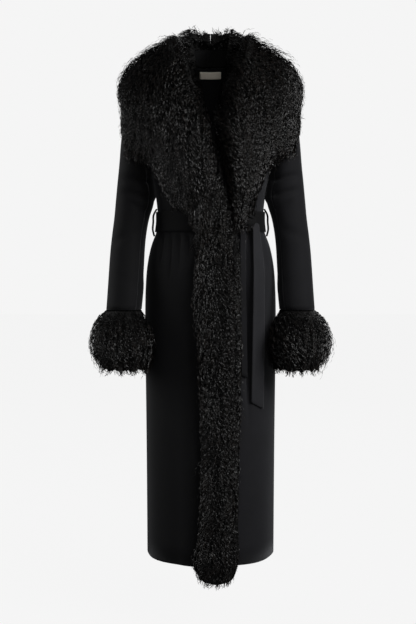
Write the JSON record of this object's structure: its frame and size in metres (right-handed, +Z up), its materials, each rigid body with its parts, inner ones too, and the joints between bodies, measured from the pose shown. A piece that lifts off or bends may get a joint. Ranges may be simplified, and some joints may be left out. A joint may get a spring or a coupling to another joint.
{
  "type": "wrap coat with a curly fur shawl collar and a tie belt",
  "caption": "Long black wool wrap coat, hollow as if worn, with a curly fur shawl collar, a fur band down the lapping front edge, fur cuffs and a knotted tie belt.",
  "frame": {"origin": "the middle of the shoulder line at the neck, where the wearer's shoulders carry the coat", "axes": "+Z up along the coat, the front faces -Y, +X is the wearer's left side"},
  "size_m": [0.6048, 0.3328, 1.4043],
  "materials": {
    "wool_cloth": "soft brushed wool",
    "curly_fur": "long curly fur with a low sheen",
    "label_tape": "matt woven tape"
  },
  "bodies": {
    "root": {"back": "wool_cloth", "front_right": "wool_cloth", "front_left": "wool_cloth", "sleeve_right_top": "wool_cloth", "sleeve_right_under": "wool_cloth", "sleeve_left_top": "wool_cloth", "sleeve_left_under": "wool_cloth", "collar_stand": "wool_cloth", "belt_band": "wool_cloth", "belt_knot": "wool_cloth", "belt_end_wide": "wool_cloth", "belt_end_narrow": "wool_cloth", "belt_loop_right": "wool_cloth", "belt_loop_left": "wool_cloth", "fur_collar_right": "curly_fur", "fur_collar_left": "curly_fur", "fur_front_band": "curly_fur", "fur_cuff_right": "curly_fur", "fur_cuff_left": "curly_fur", "neck_label": "label_tape"}
  },
  "joints": []
}
